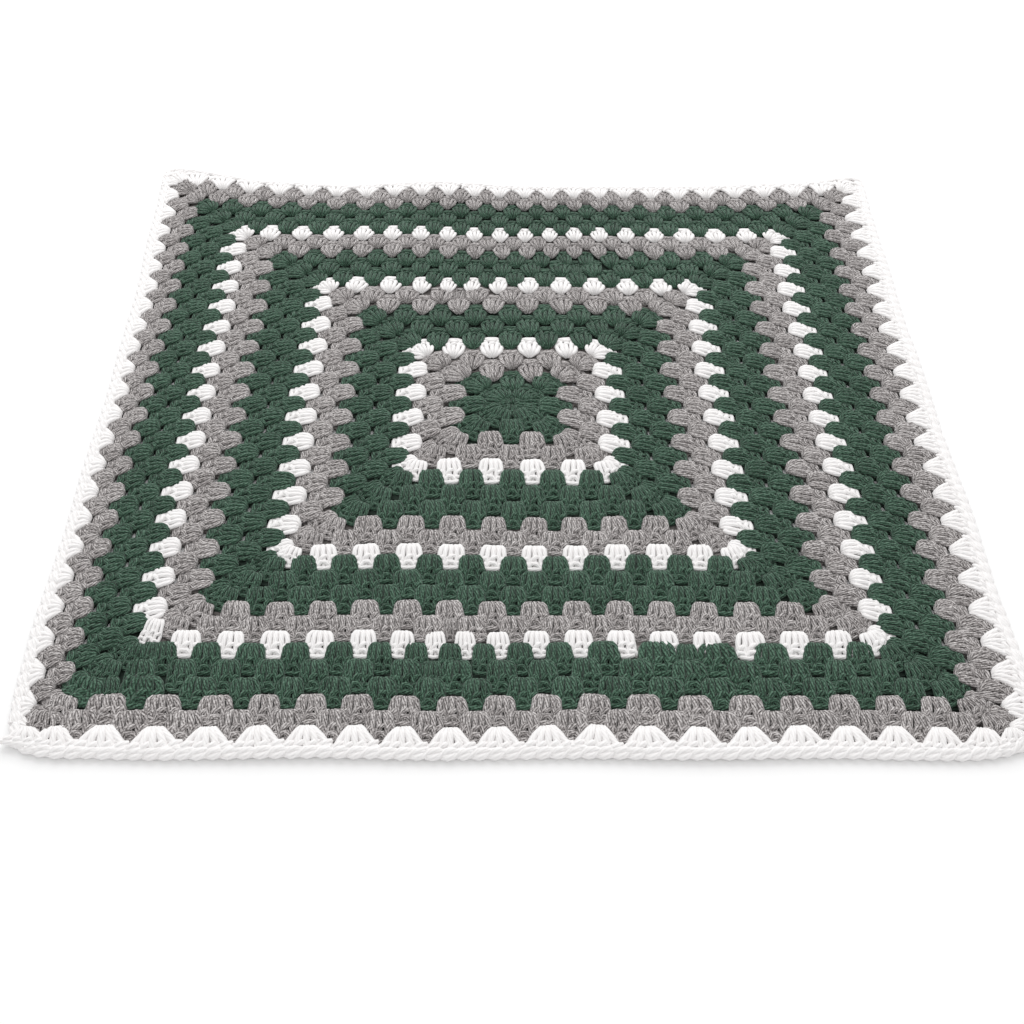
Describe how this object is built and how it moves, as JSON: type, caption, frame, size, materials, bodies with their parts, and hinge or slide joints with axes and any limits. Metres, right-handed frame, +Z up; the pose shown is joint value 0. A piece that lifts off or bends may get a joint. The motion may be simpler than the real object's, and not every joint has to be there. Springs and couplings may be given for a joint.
{
  "type": "crochet granny square blanket",
  "caption": "Square crochet blanket worked from the centre outwards in ridged rounds, with a chain edging and see-through gaps, lying flat.",
  "frame": {"origin": "the middle of the blanket's box on the surface that it lies on", "axes": "+Z up out of the cloth's face, +Y towards the far edge, which is drawn in, +X to the right as seen from the near edge"},
  "size_m": [0.862, 0.8624, 0.0087],
  "materials": {
    "green_yarn": "matt forest green wool-type yarn",
    "grey_yarn": "matt warm grey heather yarn",
    "white_yarn": "matt soft white yarn"
  },
  "bodies": {
    "root": {"blanket": "green_yarn"}
  },
  "joints": []
}
